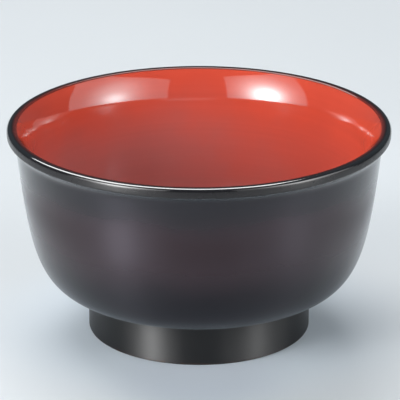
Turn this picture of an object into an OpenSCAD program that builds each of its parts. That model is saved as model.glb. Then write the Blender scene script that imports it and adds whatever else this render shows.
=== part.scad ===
// Lacquer rice bowl, built up as such bowls are: a turned wood core on a glued foot ring, hemp cloth
// bound round the lip, in the well and round the foot, then a ground coat and a lacquer coat over all.
// Millimetres, origin on the table under the middle of the bowl, +Z up its axis.

/* [Bowl] */
// Outside diameter over the lip
lip_d = 120; // [108:1:132]
// Height from the table to the top of the lip
bowl_h = 67; // [60:1:74]
// Outward lean of the upper wall outside, in degrees
outer_lean = 6; // [3:0.5:8]
// Outward lean of the upper wall inside, in degrees
inner_lean = 9; // [6:0.5:11]
// Thickness of the floor between the well and the recess under it
floor_t = 9; // [7:0.5:11]

/* [Curves] */
// Slope of the underside where it runs out from the foot, in degrees
belly_slope = 8; // [4:1:14]
// How far out the belly is drawn along that slope
belly_run = 14.5; // [11:0.5:17]
// How far down the outer wall is drawn straight from the neck
wall_run = 36.5; // [30:0.5:40]
// How far out the well is drawn level from its middle
well_run = 51; // [42:0.5:54]
// How far down the inner wall is drawn straight from the throat
inner_run = 38; // [30:0.5:40]

/* [Lip] */
// Width of the lip's bead across its top
lip_w = 3.1; // [2.6:0.1:3.6]
// Radius of the bead's inner shoulder
lip_in_r = 0.9; // [0.7:0.1:1.5]
// Radius of the bead's outer shoulder
lip_out_r = 1.1; // [0.9:0.1:1.3]
// Height of the straight band on the outside of the bead
lip_band = 1.2; // [0.4:0.1:2]
// Radius of the bead's lower edge
lip_under_r = 0.9; // [0.8:0.1:1.3]
// How far the bead's lower edge turns in under it, in degrees
lip_under = 65; // [50:1:75]
// Radius of the hollow under the bead
neck_r = 4; // [3:0.1:5]
// Radius of the flare inside the lip
throat_r = 19; // [15:0.5:21]
// Lean of the flare where it meets the bead, in degrees
throat_lean = 40; // [34:1:46]

/* [Foot] */
// Outside diameter of the foot
foot_d = 70; // [64:1:76]
// Height of the foot where the bowl sits on it
foot_h = 12.6; // [11.5:0.1:14]
// Thickness of the foot's wall
foot_w = 4.2; // [3.8:0.1:5]
// Radius of the foot's lower corners
foot_corner_r = 1; // [0.8:0.1:1.3]
// Radius of the crease between the foot and the underside
crease_r = 0.8; // [0.4:0.1:1.2]
// Depth of the recess under the bowl
recess_h = 7.5; // [6:0.5:8.5]
// Radius round the top of the recess
recess_r = 2; // [1:0.1:3]
// How far the core's spigot reaches into the foot's wall
spigot_w = 1.2; // [0.8:0.1:1.5]
// Gap left for glue between the spigot and the foot
glue_gap = 0.1; // [0.05:0.01:0.2]

/* [Coats] */
// Thickness of the lacquer
lacquer_t = 0.2; // [0.15:0.01:0.25]
// Thickness of the ground under the lacquer
ground_t = 0.2; // [0.15:0.01:0.25]
// Thickness of the hemp cloth
cloth_t = 0.25; // [0.2:0.01:0.28]
// Diameter of the cloth in the well
well_cloth_d = 72; // [60:1:84]
// Height of the cloth round the foot
foot_cloth_h = 8; // [5:0.5:9.5]

/* [Hidden] */
lip_r = lip_d / 2;
foot_r = foot_d / 2;
bore_r = foot_r - foot_w;
wood_depth = lacquer_t + ground_t;
cloth_depth = wood_depth + cloth_t;
spigot_r = bore_r + wood_depth + spigot_w;
ledge_z = recess_h - recess_r;
curve_steps = 24;
arc_steps = 6;
turn_steps = 96;

// The bowl's section is one run of [radius, height, heading] from the well, over the lip and down to
// the table. Heading 0 is up, 90 outwards, 180 down and 270 inwards, with the material on its right.

// The way from the start to the end of an arc that turns between two headings
function sweep(radius, from, to) =
    sign(to - from) * radius * [cos(from) - cos(to), sin(to) - sin(from)];

// Points along such an arc
function arc(start, radius, from, to) = [
    for (i = [0:arc_steps])
        let (heading = from + (to - from) * i / arc_steps)
        let (point = start + sweep(radius, from, heading))
        [point[0], point[1], heading]
];

// Points along a curve that leaves a towards b and reaches d from c, between two shares of it
function curve(a, b, c, d, from, to) = [
    for (i = [0:curve_steps])
        let (t = from + (to - from) * i / curve_steps, s = 1 - t)
        let (point = a * s ^ 3 + 3 * b * s ^ 2 * t + 3 * c * s * t ^ 2 + d * t ^ 3)
        let (rate = (b - a) * s ^ 2 + 2 * (c - b) * s * t + (d - c) * t ^ 2)
        [point[0], point[1], atan2(rate[0], rate[1])]
];

// Two runs that share a point, as one run
function join(first, second) = concat(first, [for (i = [1:len(second) - 1]) second[i]]);

// A run's points, moved into the material by a depth
function sunk(run, depth) = [for (s = run) [s[0] + depth * cos(s[2]), s[1] - depth * sin(s[2])]];

function backwards(points) = [for (i = [len(points) - 1:-1:0]) points[i]];

// Places where the arcs of the lip meet
lip_in = [lip_r - lip_w, bowl_h - lip_in_r * (1 - sin(throat_lean))];
crest_out = [lip_r - lip_out_r, bowl_h];
band_end = [lip_r, bowl_h - lip_out_r - lip_band];
under_heading = 180 + lip_under;
neck_start = band_end + sweep(lip_under_r, 180, under_heading);
neck_heading = 180 + outer_lean;
neck_end = neck_start + sweep(neck_r, under_heading, neck_heading);
throat_start = lip_in - sweep(throat_r, inner_lean, throat_lean);

// Ends of the two long curves
well_z = recess_h + floor_t;
crease_heading = 270 - belly_slope;
crease_start = [foot_r, foot_h] - sweep(crease_r, crease_heading, 180);

function inner_curve(from, to) = curve(
    [0, well_z],
    [well_run, well_z],
    throat_start - inner_run * [tan(inner_lean), 1],
    throat_start,
    from,
    to
);

// The share of the inner curve at which it reaches a radius, found by halving
function inner_share(radius, low = 0, high = 1, halvings = 30) =
    let (middle = (low + high) / 2)
    halvings == 0 ? middle
    : inner_curve(middle, middle)[0][0] < radius ? inner_share(radius, middle, high, halvings - 1)
    : inner_share(radius, low, middle, halvings - 1);

// The stretches of the section, in order
cloth_share = inner_share(well_cloth_d / 2);
well = inner_curve(0, cloth_share);
wall = inner_curve(cloth_share, 1);
throat = arc(throat_start, throat_r, inner_lean, throat_lean);
bead = concat(
    arc(lip_in, lip_in_r, throat_lean, 90),
    arc(crest_out, lip_out_r, 90, 180),
    arc(band_end, lip_under_r, 180, under_heading)
);
neck = arc(neck_start, neck_r, under_heading, neck_heading);
outer_wall = curve(
    neck_end,
    neck_end - wall_run * [tan(outer_lean), 1],
    crease_start + belly_run * [1, tan(belly_slope)],
    crease_start,
    0,
    1
);
body = join(outer_wall, arc(crease_start, crease_r, crease_heading, 180));
foot_side = [[foot_r, foot_h, 180], [foot_r, foot_h - foot_cloth_h, 180]];
foot_edge = concat([foot_side[1]], arc([foot_r, foot_corner_r], foot_corner_r, 180, 270));
bore_edge = concat(
    arc([bore_r + foot_corner_r, 0], foot_corner_r, 270, 360),
    [[bore_r, ledge_z, 360]]
);
recess = concat(arc([bore_r, ledge_z], recess_r, 360, 270), [[0, recess_h, 270]]);

inside = join(join(well, wall), throat);
outside = join(neck, body);
lip = join(join(throat, bead), neck);
foot = join(foot_side, foot_edge);
under = join(bore_edge, recess);

// Sub-part to show

// A shape turned round the bowl's axis
module turned(points) {
    rotate_extrude($fn = turn_steps)
        polygon(points);
}

// A coat over one run of the section
module coat(run, depth, thickness) {
    turned(concat(sunk(run, depth), backwards(sunk(run, depth + thickness))));
}

// The bowl itself, rebated for the cloth, with a spigot under it for the foot
module wood_core() {
    color([0.76, 0.6, 0.42])
        turned(concat(
            sunk(well, cloth_depth),
            sunk(wall, wood_depth),
            sunk(lip, cloth_depth),
            sunk(body, wood_depth),
            [[spigot_r, foot_h], [spigot_r, ledge_z]],
            sunk(recess, wood_depth)
        ));
}

// The foot, counterbored for the spigot, with a bare land to stand on
module foot_ring() {
    socket_r = spigot_r + glue_gap;
    color([0.7, 0.53, 0.36])
        turned(concat(
            [[socket_r, foot_h]],
            sunk(foot_side, cloth_depth),
            sunk(foot_edge, wood_depth),
            [[foot_r - foot_corner_r, 0], [bore_r + foot_corner_r, 0]],
            sunk(bore_edge, wood_depth),
            [[socket_r, ledge_z]]
        ));
}

module lip_cloth() {
    color([0.84, 0.79, 0.66])
        coat(lip, wood_depth, cloth_t);
}

module well_cloth() {
    color([0.84, 0.79, 0.66])
        coat(well, wood_depth, cloth_t);
}

module foot_cloth() {
    color([0.84, 0.79, 0.66])
        coat(foot_side, wood_depth, cloth_t);
}

// The ground inside runs over the lip, to the lower edge of its bead
module inner_ground() {
    color([0.3, 0.25, 0.22])
        coat(join(inside, bead), lacquer_t, ground_t);
}

module outer_ground() {
    color([0.3, 0.25, 0.22])
        coat(outside, lacquer_t, ground_t);
}

module foot_ground() {
    color([0.3, 0.25, 0.22])
        coat(foot, lacquer_t, ground_t);
}

module base_ground() {
    color([0.3, 0.25, 0.22])
        coat(under, lacquer_t, ground_t);
}

// Vermilion inside, black on the lip and foot, dark brown-black outside
module inner_lacquer() {
    color([0.72, 0.13, 0.07])
        coat(inside, 0, lacquer_t);
}

module lip_lacquer() {
    color([0.03, 0.03, 0.035])
        coat(bead, 0, lacquer_t);
}

module outer_lacquer() {
    color([0.1, 0.07, 0.07])
        coat(outside, 0, lacquer_t);
}

module foot_lacquer() {
    color([0.03, 0.03, 0.035])
        coat(foot, 0, lacquer_t);
}

module base_lacquer() {
    color([0.03, 0.03, 0.035])
        coat(under, 0, lacquer_t);
}

wood_core();
foot_ring();
lip_cloth();
well_cloth();
foot_cloth();
inner_ground();
outer_ground();
foot_ground();
base_ground();
inner_lacquer();
lip_lacquer();
outer_lacquer();
foot_lacquer();
base_lacquer();
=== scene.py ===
# %% [markdown]
# A lacquer rice bowl
#
# This lesson dresses a bowl whose solids are already made: a turned wood core on a glued foot, hemp
# cloth, a ground coat and a lacquer coat. They come in as a fixed frame, in metres, standing on the
# table at z = 0 with the bowl's axis on Z. We could model the bowl anew by eye, but then it would no
# longer be the size of its solids. So everything below starts from them, and we note their box first.

# %% Load the solids
import math
from collections import namedtuple

import bpy
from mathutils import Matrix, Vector


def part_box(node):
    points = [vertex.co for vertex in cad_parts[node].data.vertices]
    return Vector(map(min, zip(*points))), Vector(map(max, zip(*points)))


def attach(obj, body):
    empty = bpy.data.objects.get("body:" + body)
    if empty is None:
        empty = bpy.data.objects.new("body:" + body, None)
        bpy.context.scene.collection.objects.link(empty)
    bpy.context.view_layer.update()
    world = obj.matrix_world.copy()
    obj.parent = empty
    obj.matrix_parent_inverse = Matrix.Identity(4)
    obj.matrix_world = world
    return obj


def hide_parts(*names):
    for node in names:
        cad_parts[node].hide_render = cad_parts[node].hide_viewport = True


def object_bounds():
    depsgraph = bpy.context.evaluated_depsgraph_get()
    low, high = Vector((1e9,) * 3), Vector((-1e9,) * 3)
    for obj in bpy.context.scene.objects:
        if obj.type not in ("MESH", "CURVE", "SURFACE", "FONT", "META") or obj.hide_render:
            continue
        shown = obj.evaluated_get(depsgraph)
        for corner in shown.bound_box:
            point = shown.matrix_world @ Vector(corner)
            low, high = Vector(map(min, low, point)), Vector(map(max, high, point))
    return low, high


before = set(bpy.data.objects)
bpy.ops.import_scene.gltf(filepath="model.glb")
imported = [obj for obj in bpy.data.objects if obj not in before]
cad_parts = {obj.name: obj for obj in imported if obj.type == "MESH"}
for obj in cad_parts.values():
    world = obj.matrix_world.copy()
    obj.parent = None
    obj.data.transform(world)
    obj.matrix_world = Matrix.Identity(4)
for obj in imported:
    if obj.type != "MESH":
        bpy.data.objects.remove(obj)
solids_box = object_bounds()
print("solids:", ", ".join(sorted(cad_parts)))

# %% [markdown]
# Writing a finish as sums
#
# A finish is a web of shader nodes. Placing them one by one, as in the Shader Editor, hides the idea, so
# a small class lets us write it as sums in Python. A `Wire` holds one output of a node, and adding or
# multiplying wires adds Math nodes.


# %% Wires
class Wire:
    """One output of a shader node, which takes part in sums."""

    def __init__(self, web, socket):
        self.web = web
        self.socket = socket

    def output(self, name):
        """Another output of the same node."""
        return Wire(self.web, self.socket.node.outputs[name])

    def math(self, operation, first, second):
        """A Math node on two wires or numbers."""
        return self.web.node("ShaderNodeMath", {"operation": operation}, {0: first, 1: second})

    def __add__(self, other):
        return self.math("ADD", self, other)

    def __radd__(self, other):
        return self.math("ADD", other, self)

    def __sub__(self, other):
        return self.math("SUBTRACT", self, other)

    def __rsub__(self, other):
        return self.math("SUBTRACT", other, self)

    def __mul__(self, other):
        return self.math("MULTIPLY", self, other)

    def __rmul__(self, other):
        return self.math("MULTIPLY", other, self)

    def __pow__(self, other):
        return self.math("POWER", self, other)

    def __rpow__(self, other):
        return self.math("POWER", other, self)


# %% [markdown]
# A `Web` is the set of nodes, and its `node` method adds any kind of node: its settings come first, and
# then the values or wires of its sockets. A `Finish` is the web of a material. It knows the material's
# shader, and the spot on the surface. A painted texture would need the surface unrolled to find that
# spot. Object coordinates need nothing, and they stay put on the bowl from any side.


# %% Webs and finishes
class Web:
    """The nodes of a material, a lamp or the room."""

    def __init__(self, tree):
        self.tree = tree

    def plug(self, socket, value):
        """Link a wire to a socket, or give the socket a plain value."""
        if isinstance(value, Wire):
            self.tree.links.new(value.socket, socket)
        else:
            socket.default_value = value

    def node(self, kind, settings, sockets, output=0):
        """Add a node with these settings, fill its sockets, and give one of its outputs."""
        made = self.tree.nodes.new(kind)
        for name, value in settings.items():
            setattr(made, name, value)
        for name, value in sockets.items():
            self.plug(made.inputs[name], value)
        return Wire(self, made.outputs[output])


class Finish(Web):
    """A material for one of the bowl's surfaces, or for the table."""

    def __init__(self, name):
        self.material = bpy.data.materials.new(name)
        self.material.use_nodes = True
        super().__init__(self.material.node_tree)
        self.shader = self.tree.nodes["Principled BSDF"]
        self.spot = self.node("ShaderNodeTexCoord", {}, {}, "Object")

    def shade(self, sockets):
        """Give the shader's sockets, by their names in Blender, their values or wires."""
        for name, value in sockets.items():
            self.plug(self.shader.inputs[name], value)
        print(self.material.name, "has", len(self.tree.nodes), "nodes")


# %% [markdown]
# Places on turned work
#
# A bowl comes off a lathe, so most of its marks depend on two numbers: how far a spot is from the axis,
# and how high it is. Soft noise breaks up what is too even, and noise on those two numbers alone gives
# the rings that a turning tool leaves. A wire knows its web, so the helpers need nothing but wires.


# %% Helpers for places and noise
def axes(spot):
    """The X, Y and Z of a spot."""
    x = spot.web.node("ShaderNodeSeparateXYZ", {}, {0: spot}, "X")
    return x, x.output("Y"), x.output("Z")


def turned(spot):
    """The distance of a spot from the axis, and its height."""
    x, y, z = axes(spot)
    return (x * x + y * y) ** 0.5, z


def noise(spot, scale, detail=3.0, roughness=0.5):
    """Soft noise between 0 and 1, finer with a greater scale."""
    sockets = {"Vector": spot, "Scale": scale, "Detail": detail, "Roughness": roughness}
    return spot.web.node("ShaderNodeTexNoise", {}, sockets)


def rings(radius, height, scale):
    """Fine rings round the axis, as a turning tool and a brush leave them."""
    spot = radius.web.node("ShaderNodeCombineXYZ", {}, {0: radius, 1: height})
    return noise(spot, scale, detail=4.0, roughness=0.6)


# %% [markdown]
# Masks, colours and bumps
#
# A mark is a mask between 0 and 1 that blends two colours or changes the gloss. A Color Ramp could make
# the mask, but its stops are hard to read in code. So an edge is written as a pair of numbers, where the
# soft step begins and where it is complete, in metres where it follows a place. What noise should
# break up is made unsteady first.


# %% Helpers for masks, colours and bumps
def step(value, low, high):
    """0 below low, 1 above high, and a soft ramp between."""
    sockets = {"Value": value, "From Min": low, "From Max": high}
    return value.web.node("ShaderNodeMapRange", {"interpolation_type": "SMOOTHSTEP"}, sockets)


def belt(value, lower_edge, upper_edge):
    """1 between two soft edges, and 0 outside them."""
    return step(value, *lower_edge) * (1 - step(value, *upper_edge))


def unsteady(value, cloud, by):
    """A value that noise shifts to and fro, so that an edge drawn from it isn't straight."""
    return value + (cloud - 0.5) * by


def blend(mask, first, second):
    """The first colour where the mask is 0, and the second where it is 1."""
    # A Mix node has sockets for every kind of value: 6, 7 and the output 2 are those for colours.
    return mask.web.node("ShaderNodeMix", {"data_type": "RGBA"}, {0: mask, 6: first, 7: second}, 2)


def bump(height, distance):
    """Light bends as on a surface that rises by distance, in metres, where height is 1."""
    sockets = {"Height": height, "Distance": distance, "Strength": 1.0}
    return height.web.node("ShaderNodeBump", {}, sockets)


# %% [markdown]
# Vermilion lacquer
#
# The inside is vermilion lacquer: cinnabar red, nearly mirror smooth. One flat red would look like
# plastic. Real lacquer is faintly cloudy from the brush, and has a very fine unevenness that makes
# reflections tremble, so the red drifts between two tones, and a shallow bump of rings and soft waves
# bends the highlights. Round the wall, above the well, the red is darker and greyer: that is painted
# shade, where the rim keeps the lamps out, with a grey veil of painted reflection, and the shade is
# painted deeper on the left than on the right, which the stronger left softbox lights. Spoons and
# washing have dulled the gloss there. Height and side give the place of that belt, and the noise keeps
# its edges from being straight. Only the flare under the lip has a clear coat on top, so that it
# mirrors the lamps more strongly than the wall does. A cool tint keeps the highlights from turning pink.

# %% Vermilion finish
WELL_EDGE = (0.018, 0.03)
SHADE_BELT_EDGE = (0.036, 0.065)
DULL_EDGE = (0.026, 0.058)
FLARE_EDGE = (0.0548, 0.0576)
RIGHT_EDGE = (-0.012, 0.034)
LESS_SHADE_ON_RIGHT = 0.75
vermilion = Finish("vermilion_lacquer")
radius, height = turned(vermilion.spot)
side, _, _ = axes(vermilion.spot)
cloud = noise(vermilion.spot, scale=45.0)
brushed = rings(radius, height, scale=700.0)
waves = noise(vermilion.spot, scale=220.0, detail=1.0)
level = unsteady(height, cloud, by=0.01)
# Painted shade: the belt is darker on the left, where the left softbox lights the wall less.
left_shade = 1 - step(unsteady(side, cloud, by=0.03), *RIGHT_EDGE) * LESS_SHADE_ON_RIGHT
painted_shade_belt = belt(level, WELL_EDGE, SHADE_BELT_EDGE) * left_shade
dulled = belt(level, WELL_EDGE, DULL_EDGE)
tone = step(cloud * 0.7 + brushed * 0.3, 0.35, 0.65)
plain_red = blend(tone, (0.53, 0.06, 0.031, 1), (0.58, 0.068, 0.035, 1))
# Painted shade with a grey veil of painted reflection, not a stain.
shaded_red = blend(tone, (0.455, 0.148, 0.135, 1), (0.5, 0.158, 0.144, 1))
vermilion.shade({
    "Base Color": blend(painted_shade_belt, plain_red, shaded_red),
    "Roughness": cloud * 0.05 + dulled * 0.12 + 0.035,
    "Normal": bump(waves * 0.8 + brushed * 0.2, distance=0.000006),
    "IOR": 1.52,
    "Specular Tint": (0.4, 0.94, 1.0, 1),
    "Coat Weight": step(height, *FLARE_EDGE),
    "Coat Roughness": 0.06,
    "Coat IOR": 1.56,
})

# %% [markdown]
# Black lacquer on the lip
#
# The bead round the lip is wiped with black lacquer and polished. Its top is burnished by hands, and the
# outer corner of that top most of all, so it draws the light into a thin white line: that corner gets a
# coat of its own. The side of the bead keeps fine rings from the polishing cloth. Rings stretch a
# highlight across themselves, which modelled scratches would do only with millions of faces, so the
# shader's anisotropy does it, turned until the streaks stand upright. Towards the inner edge the black
# thins out over the red.

# %% Lip finish
UPRIGHT_STREAKS = 0.25
_, lip_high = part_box("lip_lacquer")
FULL_BLACK_EDGE = (lip_high.x - 0.0028, lip_high.x - 0.001)
TOP_EDGE = (lip_high.z - 0.0008, lip_high.z - 0.0003)
CREST_EDGE = (lip_high.x - 0.0017, lip_high.x - 0.0011)
POLISHED_BLACK = (0.007, 0.006, 0.007, 1)
RED_UNDER_BLACK = (0.15, 0.022, 0.016, 1)
lip_black = Finish("lip_black")
radius, height = turned(lip_black.spot)
patches = noise(lip_black.spot, scale=130.0)
waves = noise(lip_black.spot, scale=400.0, detail=2.0)
thin = 1 - step(radius + patches * 0.0006, *FULL_BLACK_EDGE)
top = step(height, *TOP_EDGE)
lip_black.shade({
    "Base Color": blend(thin, POLISHED_BLACK, RED_UNDER_BLACK),
    "Roughness": patches * 0.05 + 0.25 - top * 0.17,
    "Normal": bump(waves, distance=0.000003),
    "IOR": 1.52,
    "Anisotropic": 0.95,
    "Anisotropic Rotation": UPRIGHT_STREAKS,
    "Coat Weight": top * step(radius, *CREST_EDGE),
    "Coat Roughness": 0.06,
    "Coat IOR": 2.3,
})

# %% [markdown]
# Dark satin lacquer outside
#
# The outside is almost black, rubbed to a satin so that it doesn't show fingers. With one even gloss it
# would show a round bright spot. The real wall shows a soft upright streak, because the rubbing goes
# round the bowl. Its dark maroon shows only in a belt round the middle of the wall, where the lamps
# light it: above and below, under the lip and on the belly, it is kept black as painted shade. So the
# belt is redder than the rest and its upper part rougher, and anisotropy stretches its highlights up
# and down. A clear coat and a little sheen brighten the sides, where we see the wall at a glancing
# angle. The coat fades out towards the foot, and the black is a little lighter there.

# %% Outside finish
LIT_MAROON_BELT = ((0.026, 0.04), (0.05, 0.058))
ROUGH_BELT = ((0.034, 0.048), (0.047, 0.056))
LOW_EDGE = (0.014, 0.03)
COAT_EDGE = (0.014, 0.046)
DEEP_BLACK = (0.0045, 0.004, 0.0045, 1)
LOW_BLACK = (0.008, 0.0075, 0.008, 1)
MAROON = (0.0175, 0.0085, 0.0105, 1)
satin = Finish("dark_lacquer")
radius, height = turned(satin.spot)
cloud = noise(satin.spot, scale=35.0)
rubbed = rings(radius, height, scale=1500.0)
level = unsteady(height, cloud, by=0.01)
rough = belt(level, *ROUGH_BELT)
black = blend(1 - step(level, *LOW_EDGE), DEEP_BLACK, LOW_BLACK)
satin.shade({
    # Painted shade: the maroon shows only in the lit belt; under the lip and on the belly the wall is
    # kept black.
    "Base Color": blend(belt(level, *LIT_MAROON_BELT), black, MAROON),
    "Roughness": rubbed * 0.04 + cloud * 0.03 + rough * 0.18 + 0.21,
    "Normal": bump(rubbed, distance=0.000004),
    "IOR": 1.42,
    "Specular Tint": (0.85, 0.82, 1.0, 1),
    "Anisotropic": 1.0,
    "Anisotropic Rotation": UPRIGHT_STREAKS,
    "Coat Weight": step(level, *COAT_EDGE),
    "Coat Roughness": 0.15,
    "Coat IOR": 1.28,
    "Sheen Weight": 0.14,
    "Sheen Roughness": 0.3,
    "Sheen Tint": (0.75, 0.9, 1.0, 1),
})

# %% [markdown]
# Black lacquer on the foot
#
# The foot is a plainer black, with stronger reflections than the wall. It is turned too, so its
# highlights are upright streaks as well. It is the part that slides on tables, so the lacquer is dulled
# and browned along its lower edge. Fine noise breaks that edge into scuffs, which look more like wear
# than a clean line would.

# %% Foot finish
SCUFF_EDGE = (0.0003, 0.0013)
PLAIN_BLACK = (0.005, 0.0045, 0.0045, 1)
SCUFF_BROWN = (0.04, 0.021, 0.014, 1)
foot_black = Finish("foot_black")
radius, height = turned(foot_black.spot)
cloud = noise(foot_black.spot, scale=60.0)
scuffs = noise(foot_black.spot, scale=500.0, detail=5.0, roughness=0.7)
low = 1 - step(unsteady(height, cloud, by=0.0016), *SCUFF_EDGE)
scuffed = low * step(scuffs, 0.4, 0.62)
foot_black.shade({
    "Base Color": blend(scuffed, PLAIN_BLACK, SCUFF_BROWN),
    "Roughness": cloud * 0.06 + scuffed * 0.2 + 0.4,
    "Normal": bump(rings(radius, height, scale=1200.0), distance=0.000003),
    "IOR": 1.7,
    "Anisotropic": 1.0,
    "Anisotropic Rotation": UPRIGHT_STREAKS,
})

# %% [markdown]
# Black lacquer in the recess
#
# Under the bowl the lacquer is brushed on once and left. The turner's rings stay visible in it, and it
# is duller than the rest. The rings could be cut into the mesh, but they are finer than a hair, so a
# bump is enough.

# %% Recess finish
recess_black = Finish("recess_black")
radius, height = turned(recess_black.spot)
cloud = noise(recess_black.spot, scale=70.0)
turned_rings = rings(radius, height, scale=900.0)
recess_black.shade({
    "Base Color": blend(cloud, (0.008, 0.007, 0.007, 1), (0.02, 0.015, 0.013, 1)),
    "Roughness": turned_rings * 0.2 + cloud * 0.1 + 0.28,
    "Normal": bump(turned_rings, distance=0.00003),
})

# %% [markdown]
# Wood
#
# The core and the foot are zelkova, and the wood shows only on the land that the bowl stands on. Its
# grain runs along X, as in a blank sawn along the tree. A Wave texture would draw even stripes, so the
# grain is noise that a Mapping node stretches along X, and short dark pores lie along it.

# %% Wood finish
PORE_BROWN = (0.14, 0.065, 0.03, 1)
wood = Finish("zelkova_wood")
along = wood.node("ShaderNodeMapping", {}, {"Vector": wood.spot, "Scale": (0.12, 1.0, 1.0)})
grain = noise(along, scale=160.0, detail=5.0, roughness=0.65)
pores = step(noise(along, scale=900.0, detail=2.0), 0.56, 0.7) * 0.6
wood_tone = blend(step(grain, 0.3, 0.7), (0.33, 0.17, 0.075, 1), (0.52, 0.32, 0.16, 1))
wood.shade({
    "Base Color": blend(pores, wood_tone, PORE_BROWN),
    "Roughness": grain * 0.2 + 0.5,
    "Normal": bump(grain - pores, distance=0.00008),
})

# %% [markdown]
# Hemp cloth
#
# Cloth is glued over the lip, in the well and round the foot, where a bowl cracks first. It is a plain
# weave, so two sets of stripes that cross, one along X and one along Y, are all that it needs. Real
# threads would take far more faces, and the lacquer hides them anyway.

# %% Hemp finish
hemp = Finish("hemp_cloth")
threads = [
    hemp.node(
        "ShaderNodeTexWave",
        {"bands_direction": direction},
        {"Vector": hemp.spot, "Scale": 260.0, "Distortion": 1.5, "Detail": 2.0},
        "Fac",
    )
    for direction in ("X", "Y")
]
weave = threads[0] * threads[1]
hemp.shade({
    "Base Color": blend(weave, (0.3, 0.22, 0.12, 1), (0.62, 0.52, 0.34, 1)),
    "Roughness": 0.9 - weave * 0.1,
    "Normal": bump(weave, distance=0.0001),
})

# %% [markdown]
# Ground coat
#
# The ground is lacquer mixed with burnt clay: a matt, earthy paste that levels the wood. A plain brown
# would do for a layer that is hidden, but fine grit in its colour, gloss and bump tells it from the
# lacquer when the layers are shown apart.

# %% Ground finish
ground = Finish("ground_coat")
grit = noise(ground.spot, scale=900.0, detail=6.0, roughness=0.7)
ground.shade({
    "Base Color": blend(grit, (0.035, 0.026, 0.02, 1), (0.09, 0.066, 0.05, 1)),
    "Roughness": grit * 0.2 + 0.75,
    "Normal": bump(grit, distance=0.00005),
})

# %% [markdown]
# What lies under the lacquer
#
# Wood, cloth and ground are right as the solids that they are, and hardly any of them shows. We could
# turn them again, like the lacquer below, but nobody would see the difference. So they stay as they
# came in, and only their materials are exchanged.

# %% Dress the hidden layers
UNDER = {
    wood: ["wood_core", "foot_ring"],
    hemp: ["lip_cloth", "well_cloth", "foot_cloth"],
    ground: ["inner_ground", "outer_ground", "foot_ground", "base_ground"],
}
for finish, nodes in UNDER.items():
    for node in nodes:
        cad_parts[node].data.materials.clear()
        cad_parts[node].data.materials.append(finish.material)
    print(finish.material.name, "on", ", ".join(nodes))

# %% [markdown]
# Turning the coats
#
# The lacquer is what we see, and a solid's mesh is made of flat triangles that gloss would show. Smooth
# shading alone would still leave corners on the outline. So each coat is turned again, as on a lathe.
# First comes its section: we copy the solid, cut the copy on the plane y = 0, and keep the outline on
# the side of +X. It comes from the solid, so the coat will be exactly where it was.

# %% Take a section
MERGE = 0.000001


def half_section(node, name):
    """A new object in edit mode, with the outline of a solid on the +X side of the plane y = 0."""
    bpy.ops.object.select_all(action="DESELECT")
    piece = bpy.data.objects.new(name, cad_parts[node].data.copy())
    bpy.context.collection.objects.link(piece)
    piece.data.materials.clear()
    piece.select_set(True)
    bpy.context.view_layer.objects.active = piece
    bpy.ops.object.mode_set(mode="EDIT")
    bpy.ops.mesh.select_all(action="SELECT")
    bpy.ops.mesh.remove_doubles(threshold=MERGE)
    bpy.ops.mesh.bisect(
        plane_co=(0, 0, 0), plane_no=(0, 1, 0), clear_inner=True, clear_outer=True, threshold=MERGE
    )
    bpy.ops.mesh.select_all(action="SELECT")
    bpy.ops.mesh.bisect(plane_co=(0, 0, 0), plane_no=(1, 0, 0), clear_inner=True, threshold=MERGE)
    return piece


# %% [markdown]
# The section is then spun round Z, merged where the spin meets itself, and its faces are turned outwards.
# The sharp edges of a coat are creased, so that one level of subdivision rounds everything but them. A
# finer spin alone would cost more faces for the same roundness. The new coat rides on the bowl's body,
# and stands for the solid that it came from.

# %% Turn a coat
SPIN_STEPS = 144
CREASED_FROM = math.radians(50)
SMOOTH_BELOW = math.radians(40)
COATS = [
    ("inner_lacquer", "vermilion_inside", vermilion, "vermilion_lacquer"),
    ("lip_lacquer", "black_lip", lip_black, "black_lacquer"),
    ("outer_lacquer", "dark_outside", satin, "dark_lacquer"),
    ("foot_lacquer", "black_foot", foot_black, "black_lacquer"),
    ("base_lacquer", "black_recess", recess_black, "black_lacquer"),
]


def turned_coat(node, name, finish, slot):
    """A lacquer coat that is spun from the section of its solid, in its finish."""
    piece = half_section(node, name)
    bpy.ops.mesh.select_all(action="SELECT")
    bpy.ops.mesh.spin(steps=SPIN_STEPS, angle=math.tau, center=(0, 0, 0), axis=(0, 0, 1))
    bpy.ops.mesh.select_all(action="SELECT")
    bpy.ops.mesh.remove_doubles(threshold=MERGE)
    bpy.ops.mesh.normals_make_consistent(inside=False)
    bpy.ops.mesh.select_mode(type="EDGE")
    bpy.ops.mesh.select_all(action="DESELECT")
    bpy.ops.mesh.edges_select_sharp(sharpness=CREASED_FROM)
    bpy.ops.transform.edge_crease(value=1.0)
    bpy.ops.object.mode_set(mode="OBJECT")
    rounding = piece.modifiers.new("round", "SUBSURF")
    rounding.levels = 1
    rounding.render_levels = 1
    bpy.ops.object.modifier_apply(modifier=rounding.name)
    bpy.ops.object.shade_smooth_by_angle(angle=SMOOTH_BELOW)
    piece.data.materials.append(finish.material)
    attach(piece, "root")
    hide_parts(node)
    print(f"{name}: {len(piece.data.polygons)} faces")


for coat in COATS:
    turned_coat(*coat)
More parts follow.
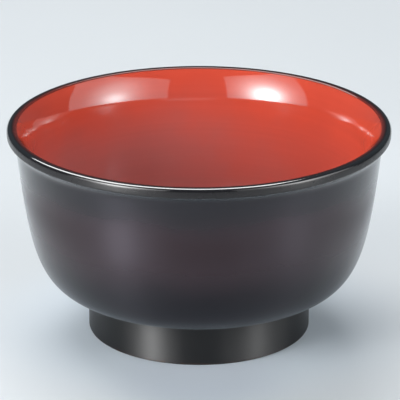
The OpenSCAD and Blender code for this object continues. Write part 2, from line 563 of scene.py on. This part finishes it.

# %% [markdown]
# Table finish
#
# The bowl stands on a pale table that is a little blue, and matt enough to show only a soft shadow. Its
# colour is not the same everywhere, and that is painted light and shade: it is painted paler on the
# right behind the bowl, where the bowl shades it from the left softbox, bluer under the bowl as a painted
# shadow, and darker before the foot as a painted shadow. More lamps could do that as well, but the
# lacquer would mirror them. So each such spot is a tone round its middle, which fades out between an
# inner and an outer distance. Far from the bowl, where the lamps end, the table turns into an even pale
# haze that only the camera sees.

# %% Table finish
Spot = namedtuple("Spot", "middle inner outer tone")
# Painted light and shade on the table: paler behind on the right, a bluer shadow under the bowl, a darker
# shadow before the foot.
PAINTED_LIGHT_AND_SHADE_SPOTS = [
    Spot(Vector((0.09, 0.09, 0)), inner=0.02, outer=0.13, tone=(0.78, 0.825, 0.86, 1)),
    Spot(Vector((0, 0, 0)), inner=0.035, outer=0.08, tone=(0.65, 0.73, 0.8, 1)),
    Spot(Vector((0, -0.045, 0)), inner=0.01, outer=0.035, tone=(0.56, 0.62, 0.69, 1)),
]
HAZE = (0.78, 0.84, 0.87, 1)
HAZE_EDGE = (0.45, 0.8)
BLACK = (0, 0, 0, 1)
pale = Finish("pale_table")
painted_table_tone = blend(noise(pale.spot, scale=6.0), (0.65, 0.688, 0.715, 1), (0.675, 0.713, 0.74, 1))
for spot in PAINTED_LIGHT_AND_SHADE_SPOTS:
    ends = {0: pale.spot, 1: spot.middle}
    away = pale.node("ShaderNodeVectorMath", {"operation": "DISTANCE"}, ends, "Value")
    painted_table_tone = blend(step(away, spot.inner, spot.outer), spot.tone, painted_table_tone)
from_bowl, _ = turned(pale.spot)
far = step(from_bowl, *HAZE_EDGE) * pale.node("ShaderNodeLightPath", {}, {}, "Is Camera Ray")
pale.shade({
    "Base Color": blend(far, painted_table_tone, BLACK),
    "Emission Color": blend(far, BLACK, HAZE),
    "Emission Strength": 1.0,
    "Roughness": 0.6,
})

# %% [markdown]
# Table
#
# The table runs on out of the picture. A plane is enough for it: far out it is the same haze as the room,
# so that no view shows where it ends. A backdrop that curves up would only add a second shade.

# %% Table
TABLE_WIDTH = 8.0
bpy.ops.object.select_all(action="DESELECT")
bpy.ops.mesh.primitive_plane_add(size=TABLE_WIDTH)
table = bpy.context.object
table.name = "table"
table.data.materials.append(pale.material)
print("table:", table.dimensions.x, "m wide")

# %% [markdown]
# Light
#
# Gloss shows the lamps themselves, so their shapes matter. A plain area light reflects as an even white
# patch. The patches on the red wall have a hot middle and fade outwards, as lamps behind cloth do, so a
# softbox here is an area light whose strength is drawn by nodes: an even cloth, and soft oval lamps.
# Its energy is set so that a strength of 1 shows as plain white.

# %% A softbox
Lamp = namedtuple("Lamp", "light across up wide tall")


def softbox(name, middle, back, size, cloth, lamps):
    """A panel of light: its middle, the way its back points, its size, and the light of its cloth.

    A lamp behind the cloth is its light, its place across and up from the middle, and its spread.
    """
    bpy.ops.object.light_add(type="AREA", location=middle)
    panel = bpy.context.object
    panel.name = name
    panel.rotation_euler = back.to_track_quat("Z", "Y").to_euler()
    panel.data.shape = "RECTANGLE"
    panel.data.size, panel.data.size_y = size
    panel.data.energy = math.pi * size[0] * size[1]
    panel.data.use_nodes = True
    web = Web(panel.data.node_tree)
    u, v, _ = axes(web.node("ShaderNodeNewGeometry", {}, {}, "Parametric"))
    light = cloth
    for lamp in lamps:
        across = (u - 0.5) * (size[0] / lamp.wide) - lamp.across / lamp.wide
        up = (v - 0.5) * (size[1] / lamp.tall) - lamp.up / lamp.tall
        light = math.e ** (0 - (across * across + up * up)) * lamp.light + light
    web.plug(web.tree.nodes["Emission"].inputs["Strength"], light)
    print(name, "is", size[0], "by", size[1], "m")


# %% [markdown]
# Two softboxes stand in front, one on each side, and make the two patches on the red wall and the streaks
# outside. The left one is stronger, so the right of the bowl's inside is brighter. They stand upright
# from the lip's height, which gives the patches their upright sides. A third hangs above and behind: it
# lights the table, throws the shadow forwards, and draws the line along the lip. It could be a sun lamp,
# but that would make a hard shadow and a line as thin as a thread.

# %% Three softboxes
SOFTBOX_DISTANCE = 0.8
LEFT_LAMPS = [
    Lamp(light=4.8, across=0.02, up=-0.2, wide=0.28, tall=0.5),
    Lamp(light=14.5, across=0.015, up=-0.29, wide=0.147, tall=0.21),
]
RIGHT_LAMPS = [
    Lamp(light=3.25, across=0.0, up=-0.2, wide=0.26, tall=0.45),
    Lamp(light=4.9, across=0.0, up=-0.29, wide=0.12, tall=0.13),
]


def upright(name, azimuth, size, cloth, lamps):
    """A softbox that stands up from the lip's height, at so many degrees to the camera's right."""
    turn = math.radians(azimuth)
    back = Vector((math.sin(turn), -math.cos(turn), 0))
    lip_height = solids_box[1][2]
    middle = back * SOFTBOX_DISTANCE + Vector((0, 0, lip_height + size[1] / 2))
    softbox(name, middle, back, size, cloth, lamps)


upright("left_softbox", azimuth=-50, size=(0.94, 1.0), cloth=0.75, lamps=LEFT_LAMPS)
upright("right_softbox", azimuth=61, size=(1.3, 0.9), cloth=0.85, lamps=RIGHT_LAMPS)
softbox(
    "back_softbox",
    middle=Vector((-0.27, 0.85, 1.4)),
    back=Vector((-0.16, 0.53, 0.83)),
    size=(1.3, 1.2),
    cloth=4.2,
    lamps=[],
)

# %% [markdown]
# Room
#
# A studio is dark around its lamps, and the black lip stays black because it mirrors that darkness. A
# black world would make the shadows black as well, so the world gives a little even, bluish light. The
# camera sees the same pale haze there as far out on the table.

# %% Room
ROOM_LIGHT = (0.063, 0.079, 0.09, 1)
world = bpy.data.worlds.new("room")
bpy.context.scene.world = world
world.use_nodes = True
room = Web(world.node_tree)
seen = room.node("ShaderNodeLightPath", {}, {}, "Is Camera Ray")
room.plug(room.tree.nodes["Background"].inputs["Color"], blend(seen, ROOM_LIGHT, HAZE))
print("room light:", ROOM_LIGHT[:3])

# %% [markdown]
# Camera
#
# The picture is taken from in front and about 20 degrees above, with a long lens from about a metre
# away. A shorter lens closer by would make the lip bulge towards us. The numbers come from the ellipses
# of the lip and the foot: how flat each is gives the height, and how they differ gives the distance.

# %% Camera
CAMERA_PLACE = (0, -0.96, 0.3959)
LOOKS_DOWN = 20.25
bpy.ops.object.camera_add(location=CAMERA_PLACE, rotation=(math.radians(90 - LOOKS_DOWN), 0, 0))
camera = bpy.context.object
camera.data.sensor_width = 36.0
camera.data.lens = 292.6
camera.data.shift_x = 0.0025
camera.data.clip_start = 0.01
bpy.context.scene.camera = camera
bpy.context.scene.view_settings.view_transform = "Standard"
print("camera:", round(camera.data.lens, 1), "mm lens")
